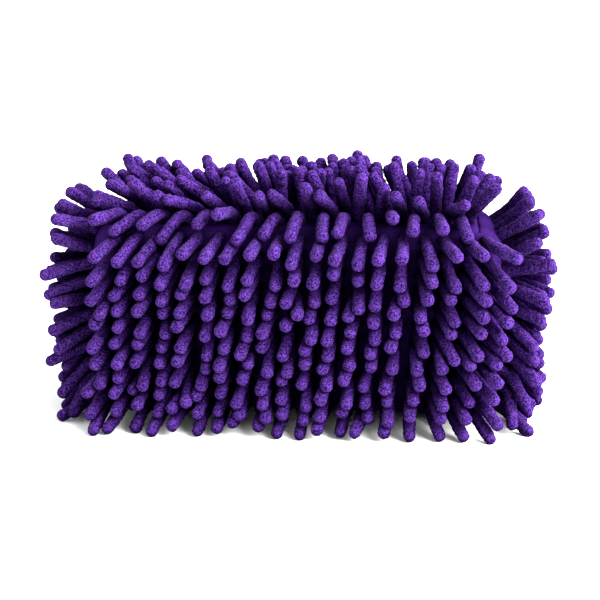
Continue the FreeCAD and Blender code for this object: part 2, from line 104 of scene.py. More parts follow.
def grid_faces(rows, columns, start=0, wrap=False, flip=False):
    """Quads between the points of a grid stored row by row. With wrap, each row is a closed ring."""
    r, c = np.meshgrid(np.arange(rows - 1), np.arange(columns if wrap else columns - 1), indexing="ij")
    next_r, next_c = r + 1, (c + 1) % columns
    corners = [r * columns + c, next_r * columns + c, next_r * columns + next_c, r * columns + next_c]
    quads = np.stack(corners, -1).reshape(-1, 4) + start
    return quads[:, ::-1] if flip else quads


def cap_faces(base, sides, centre, flip=False):
    """Triangles that close a ring of points with a point in the middle."""
    column = np.arange(sides)
    following = (column + 1) % sides
    fan = np.stack([base + following, np.full(sides, centre), base + column], -1)
    return fan[:, ::-1] if flip else fan


def grid_normals(points, wrap=False):
    """A unit normal at each point of a grid, on the side that grid_faces turns to."""
    down = np.gradient(points, axis=0)
    if wrap:
        padded = np.concatenate([points[:, -1:], points, points[:, :1]], axis=1)
        across = (padded[:, 2:] - padded[:, :-2]) / 2
    else:
        across = np.gradient(points, axis=1)
    normal = np.cross(down, across)
    length = np.linalg.norm(normal, axis=-1, keepdims=True)
    return normal / np.maximum(length, 1e-12)


def cloth_shell(name, outer, thickness, material, wrap=False):
    """A closed piece of cloth: outer is its upper side, as a grid of points."""
    rows, columns = outer.shape[:2]
    inner = outer - grid_normals(outer, wrap) * thickness
    count = rows * columns
    faces = [grid_faces(rows, columns, 0, wrap), grid_faces(rows, columns, count, wrap, True)]
    index = np.arange(count).reshape(rows, columns)
    if wrap:
        borders = [index[0], index[-1][::-1]]
    else:
        borders = [np.concatenate([index[0, :-1], index[:-1, -1], index[-1, :0:-1], index[:0:-1, 0]])]
    for border in borders:
        following = np.roll(border, -1)
        faces.append(np.stack([border, following, following + count, border + count], -1))
    points = np.concatenate([outer.reshape(-1, 3), inner.reshape(-1, 3)])
    return mesh_piece(name, points, faces, material)


def weld(piece, distance=1e-6):
    """Join the points that lie together, and turn all faces outwards."""
    work = bmesh.new()
    work.from_mesh(piece.data)
    bmesh.ops.remove_doubles(work, verts=work.verts, dist=distance)
    bmesh.ops.recalc_face_normals(work, faces=work.faces)
    work.to_mesh(piece.data)
    work.free()


def fix_to_mitt(piece, node):
    """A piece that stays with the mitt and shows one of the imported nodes."""
    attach(piece, MITT)
    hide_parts(node)


def roughened(points, size, depth):
    """Gentle unevenness for each point of a grid, the same each run."""
    flat = points.reshape(-1, 3)
    moved = [noise.noise(Vector(point) / size) * depth for point in flat]
    return np.asarray(moved).reshape(points.shape[:-1])


# --- Noodles --------------------------------------------------------------------------------

# A packed noodle bends over this share of its length, and is straight from there to its round tip.
BEND_SHARE = 0.4
LEAST_BEND = 5.5 * MM
LEAST_STRAIGHT = 0.3 * MM
TIP_LENGTH = 2.8 * MM

SIDES = 28
RING_STEP = 0.62 * MM
TIP_RINGS = 8

# Pile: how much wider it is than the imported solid, its fuzz, its slow lumps and its neck at the root.
PILE = 1.02
FUZZ_DEPTH = 0.19 * MM
FUZZ_LIMIT = 1.6
OWN_SHARE, NEIGHBOUR_SHARE = 0.62, 0.12
LUMPS = ((0.035, 3.1 * MM), (0.025, 1.7 * MM))
NECK, NECK_LENGTH = 0.14, 2.2 * MM
SWAY = 0.5 * MM

# The flat root of a packed noodle has at least this area and at most this width.
LEAST_DISC = 19 * MM**2
WIDEST_DISC = 6.2 * MM
DISC_LAYER = 0.3 * MM


def loose_parts(mesh):
    """The separate solids of a node's mesh, each as (points, triangles)."""
    count = len(mesh.vertices)
    points = np.empty(count * 3)
    mesh.vertices.foreach_get("co", points)
    points = points.reshape(-1, 3)
    mesh.calc_loop_triangles()
    triangles = np.empty(len(mesh.loop_triangles) * 3, np.int64)
    mesh.loop_triangles.foreach_get("vertices", triangles)
    _, merged = np.unique(np.round(points * 1e6).astype(np.int64), axis=0, return_inverse=True)
    merged = merged.ravel()
    triangles = triangles.reshape(-1, 3)
    joined = merged[triangles]
    label = np.arange(merged.max() + 1)
    while True:
        least = label[joined].min(axis=1)
        new = label.copy()
        for corner in range(3):
            np.minimum.at(new, joined[:, corner], least)
        new = new[new]
        if np.array_equal(new, label):
            break
        label = new
    owner = label[joined[:, 0]]
    return [(points, triangles[owner == part]) for part in np.unique(owner)]


def sphere_through(points):
    """The centre of the sphere that fits a few points best."""
    matrix = np.column_stack([2 * points, np.ones(len(points))])
    answer = np.linalg.lstsq(matrix, (points**2).sum(1), rcond=None)[0]
    return answer[:3]


def root_disc(points, triangles, normal, area):
    """Which triangles are the flat root: the one flat patch that is as wide as a noodle."""
    level = (points[triangles[:, 0]] * normal).sum(1) / DISC_LAYER
    for shift in (0, 0.003, 0.006):
        plane = np.column_stack([np.round(normal + shift, 2), np.round(level + 100 * shift)])
        group = np.unique(plane, axis=0, return_inverse=True)[1].ravel()
        total = np.bincount(group, area)
        for number in np.flatnonzero(total > LEAST_DISC):
            disc = group == number
            if np.ptp(points[triangles[disc].ravel()], axis=0).max() < WIDEST_DISC:
                return disc
    raise RuntimeError("a packed noodle shows no flat root")


def noodle_from(points, triangles):
    """Where a packed noodle starts and ends: its root, the way out of the cloth, tip and radius."""
    a, b, c = (points[triangles[:, corner]] for corner in range(3))
    cross = np.cross(b - a, c - a)
    area = np.linalg.norm(cross, axis=1) / 2
    normal = cross / np.maximum(2 * area[:, None], 1e-15)
    disc = root_disc(points, triangles, normal, area)
    rim = points[triangles[disc].ravel()]
    root = ((a + b + c) / 3 * area[:, None])[disc].sum(0) / area[disc].sum()
    out = -(normal[disc] * area[disc, None]).sum(0)
    out /= np.linalg.norm(out)
    radius = np.linalg.norm(rim - root, axis=1).max()
    used = points[np.unique(triangles)]
    far = used[np.linalg.norm(used - root, axis=1).argmax()]
    near_tip = used[np.linalg.norm(used - far, axis=1) < 0.85 * radius]
    tip = sphere_through(near_tip)
    return root, out, tip, radius


def noodle_bend(root, out, tip):
    """How the noodle bends: (side it leans to, angle, bend radius, straight length).

    The bend's radius follows from the noodle's length and the length from the bend, so both are
    found by repeating.
    """
    reach = tip - root
    up = reach @ out
    side = reach - out * up
    across = np.linalg.norm(side)
    side = side / across if across > 1e-7 else np.cross(out, [0.3, 0.5, 0.8])
    setback, angle, straight = 3 * MM, 0.5, 20 * MM
    for _ in range(30):
        angle = max(math.radians(1), math.atan2(across, up - setback))
        corner = math.hypot(across, up - setback)
        bend = LEAST_BEND
        for _ in range(4):
            length = bend * angle + straight + TIP_LENGTH
            bend = max(LEAST_BEND, BEND_SHARE * length / angle)
            straight = max(LEAST_STRAIGHT, corner - bend * math.tan(angle / 2))
        setback = bend * math.tan(angle / 2)
    return side, angle, bend, straight


def noodle_mesh(root, out, tip, radius, chance):
    """One fuzzy noodle: points in rings from root to tip, how raised each is, how far along, rings."""
    side, angle, bend, straight = noodle_bend(root, out, tip)
    length = bend * angle + straight
    along = np.linspace(0, length, max(8, int(round(length / RING_STEP))))
    turn = np.minimum(along / bend, angle)
    beyond = np.maximum(0, along - bend * angle)
    ends = out * math.cos(angle) + side * math.sin(angle)
    spine = root + np.outer(bend * np.sin(turn), out) + np.outer(bend * (1 - np.cos(turn)), side)
    spine = spine + np.outer(beyond, ends)
    tangent = np.outer(np.cos(turn), out) + np.outer(np.sin(turn), side)
    binormal = np.cross(out, side)
    sway, phase = chance.uniform(-SWAY, SWAY, 2), chance.uniform(0, 6.28, 2)
    share = along / length
    first = (np.sin(np.pi * share + phase[0]) - math.sin(phase[0])) * share
    second = (np.sin(1.7 * np.pi * share + phase[1]) - math.sin(phase[1])) * share
    spine = spine + sway[0] * first[:, None] * binormal
    spine = spine + sway[1] * second[:, None] * np.cross(binormal, tangent)
    cap = np.linspace(0, math.pi / 2, TIP_RINGS + 1)[1:-1]
    last = spine[-1] + np.outer(np.sin(cap) * radius, tangent[-1])
    centre = np.concatenate([spine, last])
    tangent = np.concatenate([tangent, np.repeat(tangent[-1:], len(cap), 0)])
    lumps = np.ones(len(along))
    for (depth, span), start in zip(LUMPS, phase):
        lumps += depth * np.sin(along / span + start)
    neck = 1 - NECK * np.exp(-along / NECK_LENGTH)
    radius = radius * PILE
    width = np.concatenate([radius * lumps * neck, radius * np.cos(cap) * lumps[-1]])
    count = len(centre)
    fuzz = chance.normal(0, 1, (count, SIDES))
    fuzz = OWN_SHARE * fuzz + NEIGHBOUR_SHARE * (np.roll(fuzz, 1, 1) + np.roll(fuzz, -1, 1))
    fuzz[1:-1] += NEIGHBOUR_SHARE * (fuzz[2:] + fuzz[:-2])
    fuzz = np.clip(fuzz, -FUZZ_LIMIT, FUZZ_LIMIT)
    fuzz *= np.minimum(1, width / radius + 0.1)[:, None]
    stagger = (np.arange(count) % 2)[:, None] / 2
    theta = (np.arange(SIDES) + stagger) * 2 * math.pi / SIDES
    swell = width[:, None] + fuzz * FUZZ_DEPTH
    other = np.cross(binormal, tangent)
    ring = np.cos(theta)[..., None] * other[:, None, :] + np.sin(theta)[..., None] * binormal
    rings_at = centre[:, None, :] + ring * swell[..., None]
    pole = spine[-1] + tangent[-1] * (radius + chance.uniform(-0.5, 0.5) * FUZZ_DEPTH)
    points = np.concatenate([rings_at.reshape(-1, 3), [pole], [root]])
    raised = np.concatenate([fuzz.ravel(), [0, 0]])
    place = np.concatenate([np.repeat(np.linspace(0, 1, count), SIDES), [1, 0]])
    return points, raised, place, count


def noodle_faces(count, start):
    """The faces of a noodle of count rings: quads between rings, and triangles at tip and root."""
    pole, root = start + count * SIDES, start + count * SIDES + 1
    tip = cap_faces(start + (count - 1) * SIDES, SIDES, pole, True)
    base = cap_faces(start, SIDES, root)
    return grid_faces(count, SIDES, start, True), np.concatenate([tip, base])


def noodle_piece(node, material, seed):
    """All the noodles of one packed strip as one piece."""
    chance = np.random.default_rng(seed)
    points, raised, place, tone, quads, triangles = [], [], [], [], [], []
    start = 0
    for solid in loose_parts(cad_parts[node].data):
        made, fuzz, along, count = noodle_mesh(*noodle_from(*solid), chance)
        some_quads, some_triangles = noodle_faces(count, start)
        points.append(made)
        raised.append(fuzz)
        place.append(along)
        tone.append(np.full(len(made), chance.uniform(-1, 1)))
        quads.append(some_quads)
        triangles.append(some_triangles)
        start += len(made)
    faces = [np.concatenate(quads), np.concatenate(triangles)]
    piece = mesh_piece(f"{node}_pile", np.concatenate(points), faces, material)
    add_attribute(piece, "raised", np.concatenate(raised))
    add_attribute(piece, "along", np.concatenate(place))
    add_attribute(piece, "tone", np.concatenate(tone))
    fix_to_mitt(piece, node)


# --- Materials ------------------------------------------------------------------------------


class Nodes:
    """Short names for adding and joining a material's nodes."""

    def __init__(self, name):
        self.material = bpy.data.materials.new(name)
        self.material.use_nodes = True
        self.tree = self.material.node_tree
        self.shader = self.tree.nodes["Principled BSDF"]
        coordinate = self.tree.nodes.new("ShaderNodeTexCoord")
        self.place = coordinate.outputs["Object"]

    def add(self, kind, **settings):
        node = self.tree.nodes.new(kind)
        for key, value in settings.items():
            setattr(node, key, value)
        return node

    def join(self, source, target):
        self.tree.links.new(source, target)

    def noise(self, scale, detail=2.0, roughness=0.5):
        node = self.add("ShaderNodeTexNoise")
        node.inputs["Scale"].default_value = scale
        node.inputs["Detail"].default_value = detail
        node.inputs["Roughness"].default_value = roughness
        self.join(self.place, node.inputs["Vector"])
        return node.outputs["Fac"]

    def cells(self, scale):
        node = self.add("ShaderNodeTexVoronoi", feature="F1")
        node.inputs["Scale"].default_value = scale
        self.join(self.place, node.inputs["Vector"])
        return node.outputs["Distance"]

    def attribute(self, name):
        return self.add("ShaderNodeAttribute", attribute_name=name).outputs["Fac"]

    def ramp(self, source, *stops):
        """stops are (place, colour) pairs."""
        node = self.add("ShaderNodeValToRGB")
        elements = node.color_ramp.elements
        while len(elements) < len(stops):
            elements.new(0.5)
        for element, (place, colour) in zip(elements, stops):
            element.position = place
            element.color = (*colour, 1) if isinstance(colour, tuple) else (colour, colour, colour, 1)
        self.join(source, node.inputs["Fac"])
        return node.outputs["Color"]

    def mix(self, blend, share, first, second):
        node = self.add("ShaderNodeMix", data_type="RGBA", blend_type=blend)
        self.feed(share, node.inputs[0])
        self.feed(first, node.inputs[6])
        self.feed(second, node.inputs[7])
        return node.outputs[2]

    def math(self, operation, first, second=0.0):
        node = self.add("ShaderNodeMath", operation=operation)
        self.feed(first, node.inputs[0])
        self.feed(second, node.inputs[1])
        return node.outputs[0]

    def feed(self, source, target):
        if isinstance(source, bpy.types.NodeSocket):
            self.join(source, target)
        elif isinstance(source, tuple):
            target.default_value = (*source, 1) if len(source) == 3 else source
        else:
            target.default_value = source

    def deep_shade(self):
        """Painted shade: darker where the pile closes round the surface, from the ambient occlusion
        there.
        """
        node = self.add("ShaderNodeAmbientOcclusion", samples=6)
        node.inputs["Distance"].default_value = 0.022
        deep, half_way, open_ = (0.04, 0.014, 0.06), (0.43, 0.33, 0.5), (1, 1, 1)
        return self.ramp(node.outputs["AO"], (0.10, deep), (0.4, half_way), (0.74, open_))

    def bands(self, direction, scale, distortion=0.0):
        """Parallel ribs across a direction."""
        node = self.add("ShaderNodeTexWave", wave_type="BANDS", bands_direction=direction)
        node.inputs["Scale"].default_value = scale
        node.inputs["Distortion"].default_value = distortion
        self.join(self.place, node.inputs["Vector"])
        return node.outputs["Fac"]

    def multiply(self, colour, *factors):
        for factor in factors:
            colour = self.mix("MULTIPLY", 1.0, colour, factor)
        return colour

    def bump(self, height, distance, strength=1.0):
        node = self.add("ShaderNodeBump")
        node.inputs["Strength"].default_value = strength
        node.inputs["Distance"].default_value = distance
        self.join(height, node.inputs["Height"])
        self.join(node.outputs["Normal"], self.shader.inputs["Normal"])

    def finish(self, colour, roughness=0.9, sheen=0.0, sheen_tint=(1, 1, 1), specular=0.2):
        self.feed(colour, self.shader.inputs["Base Color"])
        self.feed(roughness, self.shader.inputs["Roughness"])
        self.shader.inputs["Specular IOR Level"].default_value = specular
        self.feed(sheen, self.shader.inputs["Sheen Weight"])
        self.shader.inputs["Sheen Roughness"].default_value = 0.45
        self.shader.inputs["Sheen Tint"].default_value = (*sheen_tint, 1)
        return self.material


def noodle_material():
    """Violet chenille: dark between the fibre tufts, with painted shade in the dips of the fuzz,
    towards the root and where the pile closes round, and painted light on the raised fuzz and at the
    tip.
    """
    n = Nodes("violet_chenille")
    fine = n.noise(2400, 3, 0.6)
    base = n.ramp(fine, (0.3, (0.022, 0.0063, 0.070)), (0.7, (0.050, 0.021, 0.122)))
    tufts = n.cells(1350)
    pits = n.ramp(tufts, (0.34, (1.3, 1.26, 1.3)), (0.7, (0.2, 0.1, 0.3)))
    base = n.mix("MULTIPLY", 0.95, base, pits)
    depth = n.math("SUBTRACT", n.math("MULTIPLY", n.noise(1500, 2), 0.7), tufts)
    # Painted shade in the dips of the fuzz and painted light on its raised points.
    lifted = n.math("ADD", n.math("MULTIPLY", n.attribute("raised"), 0.3), 0.5)
    painted_fuzz_shade = n.ramp(lifted, (0.2, 0.55), (0.65, 1.18))
    # Painted shade towards the root, where the noodles crowd, and a little painted light at the tip.
    painted_root_shade = n.ramp(n.attribute("along"), (0.0, 0.6), (0.45, 0.97), (1.0, 1.06))
    tone = n.math("ADD", n.math("MULTIPLY", n.attribute("tone"), 0.1), 1.0)
    shade = n.deep_shade()
    base = n.multiply(base, painted_fuzz_shade, painted_root_shade, tone, shade)
    height = n.math("ADD", n.math("MULTIPLY", n.noise(3600, 2), 0.5), depth)
    n.bump(height, 0.0004, 0.9)
    return n.finish(base, 1.0, n.math("MULTIPLY", shade, 0.035), (0.7, 0.45, 1.0), 0.0)


def knit_material():
    """The cover's smooth knit, seen between the noodles."""
    n = Nodes("violet_knit")
    ribs = n.bands("X", 420, 1.2)
    grain = n.noise(1500, 3)
    base = n.ramp(grain, (0.3, (0.016, 0.0046, 0.050)), (0.7, (0.028, 0.0092, 0.080)))
    rows = n.ramp(ribs, (0.0, 0.86), (1.0, 1.05))
    patches = n.ramp(n.noise(60, 2), (0.3, 0.85), (0.7, 1.1))
    # Painted shade where the noodles close round the cloth.
    base = n.multiply(base, rows, patches, n.deep_shade())
    n.bump(n.math("ADD", n.math("MULTIPLY", ribs, 0.5), grain), 0.00018, 0.7)
    return n.finish(base, 1.0, 0.0, (0.6, 0.4, 1.0), 0.0)


def plush_material():
    """Short looped microfibre on the back and over the hand."""
    n = Nodes("violet_plush")
    loops = n.cells(1300)
    fine = n.noise(2600, 3, 0.6)
    base = n.ramp(loops, (0.1, (0.060, 0.022, 0.150)), (0.85, (0.016, 0.0045, 0.050)))
    fibres = n.ramp(fine, (0.3, 0.75), (0.7, 1.15))
    patches = n.ramp(n.noise(45, 3), (0.3, 0.82), (0.7, 1.12))
    # Painted shade where nearby surfaces close round the plush.
    base = n.multiply(base, fibres, patches, n.deep_shade())
    height = n.math("SUBTRACT", n.math("MULTIPLY", fine, 0.4), loops)
    n.bump(height, 0.0006, 0.8)
    return n.finish(base, 1.0, 0.03, (0.6, 0.4, 1.0), 0.0)


def cuff_material():
    """Ribbed knit binding, a little darker than the cover."""
    n = Nodes("violet_rib_knit")
    ribs = n.bands("Z", 260, 0.6)
    grain = n.noise(2200, 3)
    base = n.ramp(ribs, (0.1, (0.009, 0.0023, 0.031)), (0.9, (0.030, 0.010, 0.085)))
    base = n.multiply(base, n.ramp(grain, (0.3, 0.8), (0.7, 1.15)))
    n.bump(n.math("ADD", ribs, n.math("MULTIPLY", grain, 0.4)), 0.0003, 0.8)
    return n.finish(base, 0.95, 0.02, (0.6, 0.4, 1.0), 0.05)


def thread_material():
    """Spun polyester thread with its twist."""
    n = Nodes("violet_thread")
    twist = n.bands("DIAGONAL", 900)
    base = n.ramp(twist, (0.0, (0.026, 0.0075, 0.081)), (1.0, (0.070, 0.027, 0.18)))
    n.bump(twist, 0.0001, 0.7)
    return n.finish(base, 0.6, 0.02, (0.7, 0.6, 1.0), 0.2)


def foam_material():
    """Open-cell foam, yellowish, with pores."""
    n = Nodes("open_cell_foam")
    pores = n.cells(1400)
    base = n.ramp(pores, (0.0, (0.12, 0.10, 0.052)), (0.45, (0.31, 0.27, 0.17)))
    base = n.multiply(base, n.ramp(n.noise(80, 2), (0.3, 0.88), (0.7, 1.06)))
    n.bump(pores, 0.0005, 0.8)
    return n.finish(base, 0.95, 0.1)


def elastic_material():
    """Woven elastic: fine ribs along its length."""
    n = Nodes("woven_elastic")
    ribs = n.bands("X", 700)
    base = n.ramp(ribs, (0.0, (0.19, 0.19, 0.185)), (1.0, (0.33, 0.33, 0.32)))
    base = n.multiply(base, n.ramp(n.noise(700, 2), (0.3, 0.9), (0.7, 1.05)))
    n.bump(ribs, 0.0002, 0.7)
    return n.finish(base, 0.7, 0.1)


def label_material():
    """Blank white satin with a fine weave."""
    n = Nodes("blank_satin")
    weave = n.bands("Y", 1300)
    base = n.ramp(weave, (0.0, (0.27, 0.27, 0.268)), (1.0, (0.34, 0.34, 0.335)))
    base = n.multiply(base, n.ramp(n.noise(300, 2), (0.3, 0.93), (0.7, 1.0)))
    n.bump(weave, 0.00008, 0.5)
    return n.finish(base, n.ramp(weave, (0.0, 0.35), (1.0, 0.5)), 0.1, (1, 1, 1), 0.5)


CHENILLE = noodle_material()
KNIT = knit_material()
PLUSH = plush_material()
RIB_KNIT = cuff_material()
THREAD = thread_material()
FOAM = foam_material()
ELASTIC = elastic_material()
SATIN = label_material()


# --- Cover ----------------------------------------------------------------------------------

# Steps along the outline's corners, its long sides and its short sides.
ARC_STEPS = 10
LONG_STEPS, SHORT_STEPS = 60, 28

# The seam runs half-way round the rounded edge, in a groove. The cloth is fine up to FINE_WIDTH.
SEAM = (1 - math.sqrt(0.5)) * EDGE_ROUND
FINE_WIDTH = 1.6 * EDGE_ROUND
GROOVE_WIDTH, GROOVE_DEPTH = 1.4 * MM, 0.7 * MM

# Fullness: how far the foam pushes the cloths out, and their slow unevenness.
FRONT_CROWN, GUSSET_CROWN = 0.6 * MM, 0.8 * MM
UNEVEN_SIZE, UNEVEN_FACE, UNEVEN_GUSSET = 14 * MM, 0.45 * MM, 0.4 * MM
END_TUCK = 0.4 * MM


def outline(inset=0.0):
    """Points and normals round the cover's outline in XZ, anticlockwise seen from the front."""
    round_ = max(CORNER - inset, 0.0)
    across, tall = HALF_X - inset - round_, max(HALF_Z - inset - round_, 0.0)
    corners = [(1, -1, -90), (1, 1, 0), (-1, 1, 90), (-1, -1, 180)]
    places, normals = [], []
    for number, (sign_x, sign_z, start) in enumerate(corners):
        steps = SHORT_STEPS if number % 2 == 0 else LONG_STEPS
        for angle in np.radians(np.linspace(start, start + 90, ARC_STEPS + 1)):
            direction = np.array([math.cos(angle), math.sin(angle)])
            places.append(np.array([sign_x * across, sign_z * tall]) + round_ * direction)
            normals.append(direction)
        next_x, next_z, _ = corners[(number + 1) % 4]
        direction = normals[-1]
        end = np.array([next_x * across, next_z * tall]) + round_ * direction
        begin = places[-1]
        for share in np.linspace(0, 1, steps + 1)[1:-1]:
            places.append(begin + (end - begin) * share)
            normals.append(direction)
    places = np.asarray(places) + [CENTRE_X, CENTRE_Z]
    return places, np.asarray(normals)


def edge_drop(inset):
    """How far the cloth lies below its face at a distance in from the cover's edge."""
    near = np.clip(1 - inset / EDGE_ROUND, 0, 1)
    drop = EDGE_ROUND * (1 - np.sqrt(1 - near**2))
    groove = np.clip(1 - (inset - SEAM) / GROOVE_WIDTH, 0, 1) ** 2 * GROOVE_DEPTH
    return drop + groove


def fine_insets(count):
    """Distances in from the edge that start at the seam and lie closest there."""
    return SEAM + np.linspace(0, 1, count) ** 1.5 * (FINE_WIDTH - SEAM)


def face_panel(name, node, side, crown, material):
    """A large face of the cover: side is -1 in front and 1 behind."""
    fine = fine_insets(9)
    coarse = np.linspace(fine[-1], HALF_Z, 16)[1:]
    rows = []
    plane = FACE_Y if side < 0 else BACK_Y
    for inset in np.concatenate([fine, coarse]):
        places, _ = outline(inset)
        rise = crown * math.sin(min(1, inset / (0.6 * HALF_Z)) * math.pi / 2)
        y = plane + side * (rise - edge_drop(inset))
        rows.append(np.column_stack([places[:, 0], np.full(len(places), y), places[:, 1]]))
    grid = np.asarray(rows)
    grid[..., 1] += side * roughened(grid, UNEVEN_SIZE, UNEVEN_FACE)
    if side > 0:
        grid = grid[:, ::-1]
    piece = cloth_shell(name, grid, CLOTH, material, True)
    fix_to_mitt(piece, node)
    return piece


def gusset(name, node, first, last):
    """A strip of the cover's edge between two places of the outline, given by their numbers."""
    places, normals = outline()
    numbers = np.arange(first, last + 1) % len(places)
    depth = BACK_Y - FACE_Y
    fine = fine_insets(8)
    middle = np.linspace(fine[-1], depth - fine[-1], 16)[1:-1]
    rows = []
    for inset in np.concatenate([fine, middle, (depth - fine)[::-1]]):
        edge = min(inset, depth - inset)
        rise = GUSSET_CROWN * math.sin(min(1, edge / (0.4 * depth)) * math.pi / 2)
        out = rise - edge_drop(edge)
        spots = places[numbers] + normals[numbers] * out
        rows.append(np.column_stack([spots[:, 0], np.full(len(spots), FACE_Y + inset), spots[:, 1]]))
    grid = np.asarray(rows)
    shift = roughened(grid, UNEVEN_SIZE, UNEVEN_GUSSET)
    from_end = np.minimum(np.arange(len(numbers)), np.arange(len(numbers))[::-1])
    shift -= np.clip(1 - from_end / 1.5, 0, 1)[None, :] * END_TUCK
    grid[..., 0] += normals[numbers][None, :, 0] * shift
    grid[..., 2] += normals[numbers][None, :, 1] * shift
    piece = cloth_shell(name, grid[:, ::-1], CLOTH, KNIT)
    fix_to_mitt(piece, node)
    return piece


def cover():
    """The five noodle cloths and the plain back."""
    front = face_panel("front_cloth", "front_panel", -1, FRONT_CROWN, KNIT)
    back = face_panel("back_cloth", "back_panel", 1, 0.0, PLUSH)
    end_steps = ARC_STEPS + SHORT_STEPS + ARC_STEPS
    half_way = end_steps + LONG_STEPS
    strips = {
        "right": (0, end_steps),
        "top": (end_steps, half_way),
        "left": (half_way, half_way + end_steps),
        "bottom": (half_way + end_steps, 2 * half_way),
    }
    for side, (first, last) in strips.items():
        piece = gusset(f"{side}_cloth", f"{side}_gusset", first, last)


FOAM_ROUND = 8 * MM
FOAM_STEPS = 25


def foam_core():
    """The foam block, with rounded edges: a cube's faces drawn to a rounded box, then welded."""
    low, high = (np.array(corner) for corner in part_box("foam_core"))
    middle, half = (low + high) / 2, (high - low) / 2
    u = np.linspace(-1, 1, FOAM_STEPS)
    a, b = np.meshgrid(u, u, indexing="ij")
    points, faces = [], []
    for axis in range(3):
        for sign in (-1, 1):
            cube = np.empty(a.shape + (3,))
            cube[..., axis] = sign
            cube[..., (axis + 1) % 3] = a
            cube[..., (axis + 2) % 3] = b
            spot = cube * half
            kept = np.clip(spot, FOAM_ROUND - half, half - FOAM_ROUND)
            away = spot - kept
            away /= np.maximum(np.linalg.norm(away, axis=-1, keepdims=True), 1e-12)
            grid = kept + away * FOAM_ROUND + middle
            faces.append(grid_faces(len(u), len(u), a.size * len(points), flip=sign < 0))
            points.append(grid.reshape(-1, 3))
    piece = mesh_piece("foam_block", np.concatenate(points), [np.concatenate(faces)], FOAM)
    weld(piece)
    fix_to_mitt(piece, "foam_core")


STITCH_SIDES, STITCH_RINGS = 8, 7
STITCH_RADIUS = 0.3 * MM
GROOVE_SHARE, CORNER_OUT = 0.35, 0.1 * MM


def stitches(name, path, length=3.0 * MM, gap=0.9 * MM, closed=False):
    """A row of short rounded stitches along a path given by many close points."""
    path = np.asarray(path)
    if closed:
        path = np.concatenate([path, path[:1]])
    steps = np.linalg.norm(np.diff(path, axis=0), axis=1)
    travelled = np.concatenate([[0], np.cumsum(steps)])
    count = max(1, int(travelled[-1] / (length + gap)))
    pitch = travelled[-1] / count
    share = (1 - np.cos(np.linspace(0, math.pi, STITCH_RINGS + 2))) / 2
    thick = STITCH_RADIUS * np.sqrt(np.clip(1 - (2 * share[1:-1] - 1) ** 4, 0, 1))
    theta = np.arange(STITCH_SIDES) * 2 * math.pi / STITCH_SIDES
    points, quads, triangles = [], [], []
    start = 0
    for number in range(count):
        begin = number * pitch + (pitch - length) / 2
        at = begin + share * length
        spots = np.column_stack([np.interp(at, travelled, path[:, axis]) for axis in range(3)])
        tangent = spots[-1] - spots[0]
        tangent /= np.linalg.norm(tangent)
        first = np.cross(tangent, [0.0, 1.0, 0.02])
        if np.linalg.norm(first) < 0.1:
            first = np.cross(tangent, [1.0, 0.0, 0.02])
        first /= np.linalg.norm(first)
        second = np.cross(tangent, first)
        ring = np.cos(theta)[:, None] * first + np.sin(theta)[:, None] * second
        body = spots[1:-1, None, :] + thick[:, None, None] * ring[None]
        points.append(np.concatenate([body.reshape(-1, 3), spots[:1], spots[-1:]]))
        near = start + STITCH_RINGS * STITCH_SIDES
        quads.append(grid_faces(STITCH_RINGS, STITCH_SIDES, start, True))
        triangles.append(cap_faces(start, STITCH_SIDES, near))
        triangles.append(cap_faces(near - STITCH_SIDES, STITCH_SIDES, near + 1, True))
        start = near + 2
    faces = [np.concatenate(quads), np.concatenate(triangles)]
    piece = mesh_piece(name, np.concatenate(points), faces, THREAD)
    return piece


def seam_threads():
    """Stitches sunk in the grooves where the cloths meet."""
    inset = SEAM + GROOVE_DEPTH * GROOVE_SHARE
    places, _ = outline(inset)
    for node, y in (("front_seam_thread", FACE_Y + inset), ("back_seam_thread", BACK_Y - inset)):
        path = np.column_stack([places[:, 0], np.full(len(places), y), places[:, 1]])
        piece = stitches(f"{node}_stitches", path, closed=True)
        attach(piece, MITT)
        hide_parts(node)
    y = np.linspace(FACE_Y + EDGE_ROUND, BACK_Y - EDGE_ROUND, 40)
    rows = []
    for sign_x in (-1, 1):
        for sign_z in (-1, 1):
            x = np.full_like(y, CENTRE_X + sign_x * (HALF_X - CORNER))
            z = np.full_like(y, CENTRE_Z + sign_z * (HALF_Z + CORNER_OUT))
            row = stitches(f"corner_stitches_{len(rows) + 1}", np.column_stack([x, y, z]))
            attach(row, MITT)
            rows.append(row)
    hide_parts("corner_seam_threads")


# --- Hand pocket ----------------------------------------------------------------------------

PANEL_LOW, PANEL_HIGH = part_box("pocket_panel")
CUFF_LOW, CUFF_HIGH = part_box("cuff_band")
SEAT_Y = BACK_Y + 0.2 * MM
HALF_POCKET = (PANEL_HIGH.z - PANEL_LOW.z) / 2 - 0.7 * MM
MOUTH_RISE = PANEL_HIGH.y - BACK_Y - 1.8 * MM
END_RISE = 0.9 * MM
CUFF_DEEP = CUFF_HIGH.x - CUFF_LOW.x
CUFF_MIDDLE = CUFF_LOW.x + CUFF_DEEP / 2
POCKET_CLOTH = 1.4 * MM

# The cloth's folds: gathers that run out of the elastic, slanting pulls over the hand, and small
# puckers where the edge is sewn down. All are full where the pocket stands FULL_FOLDS out.
GATHERS, GATHERS_REACH = 0.75 * MM, 26 * MM
PULLS = 1.3 * MM
PUCKERS, PUCKERS_SPAN, PUCKERS_WIDTH = 4.8 * MM, 4.1 * MM, 0.13
FULL_FOLDS = 6 * MM
SAG = 0.9 * MM


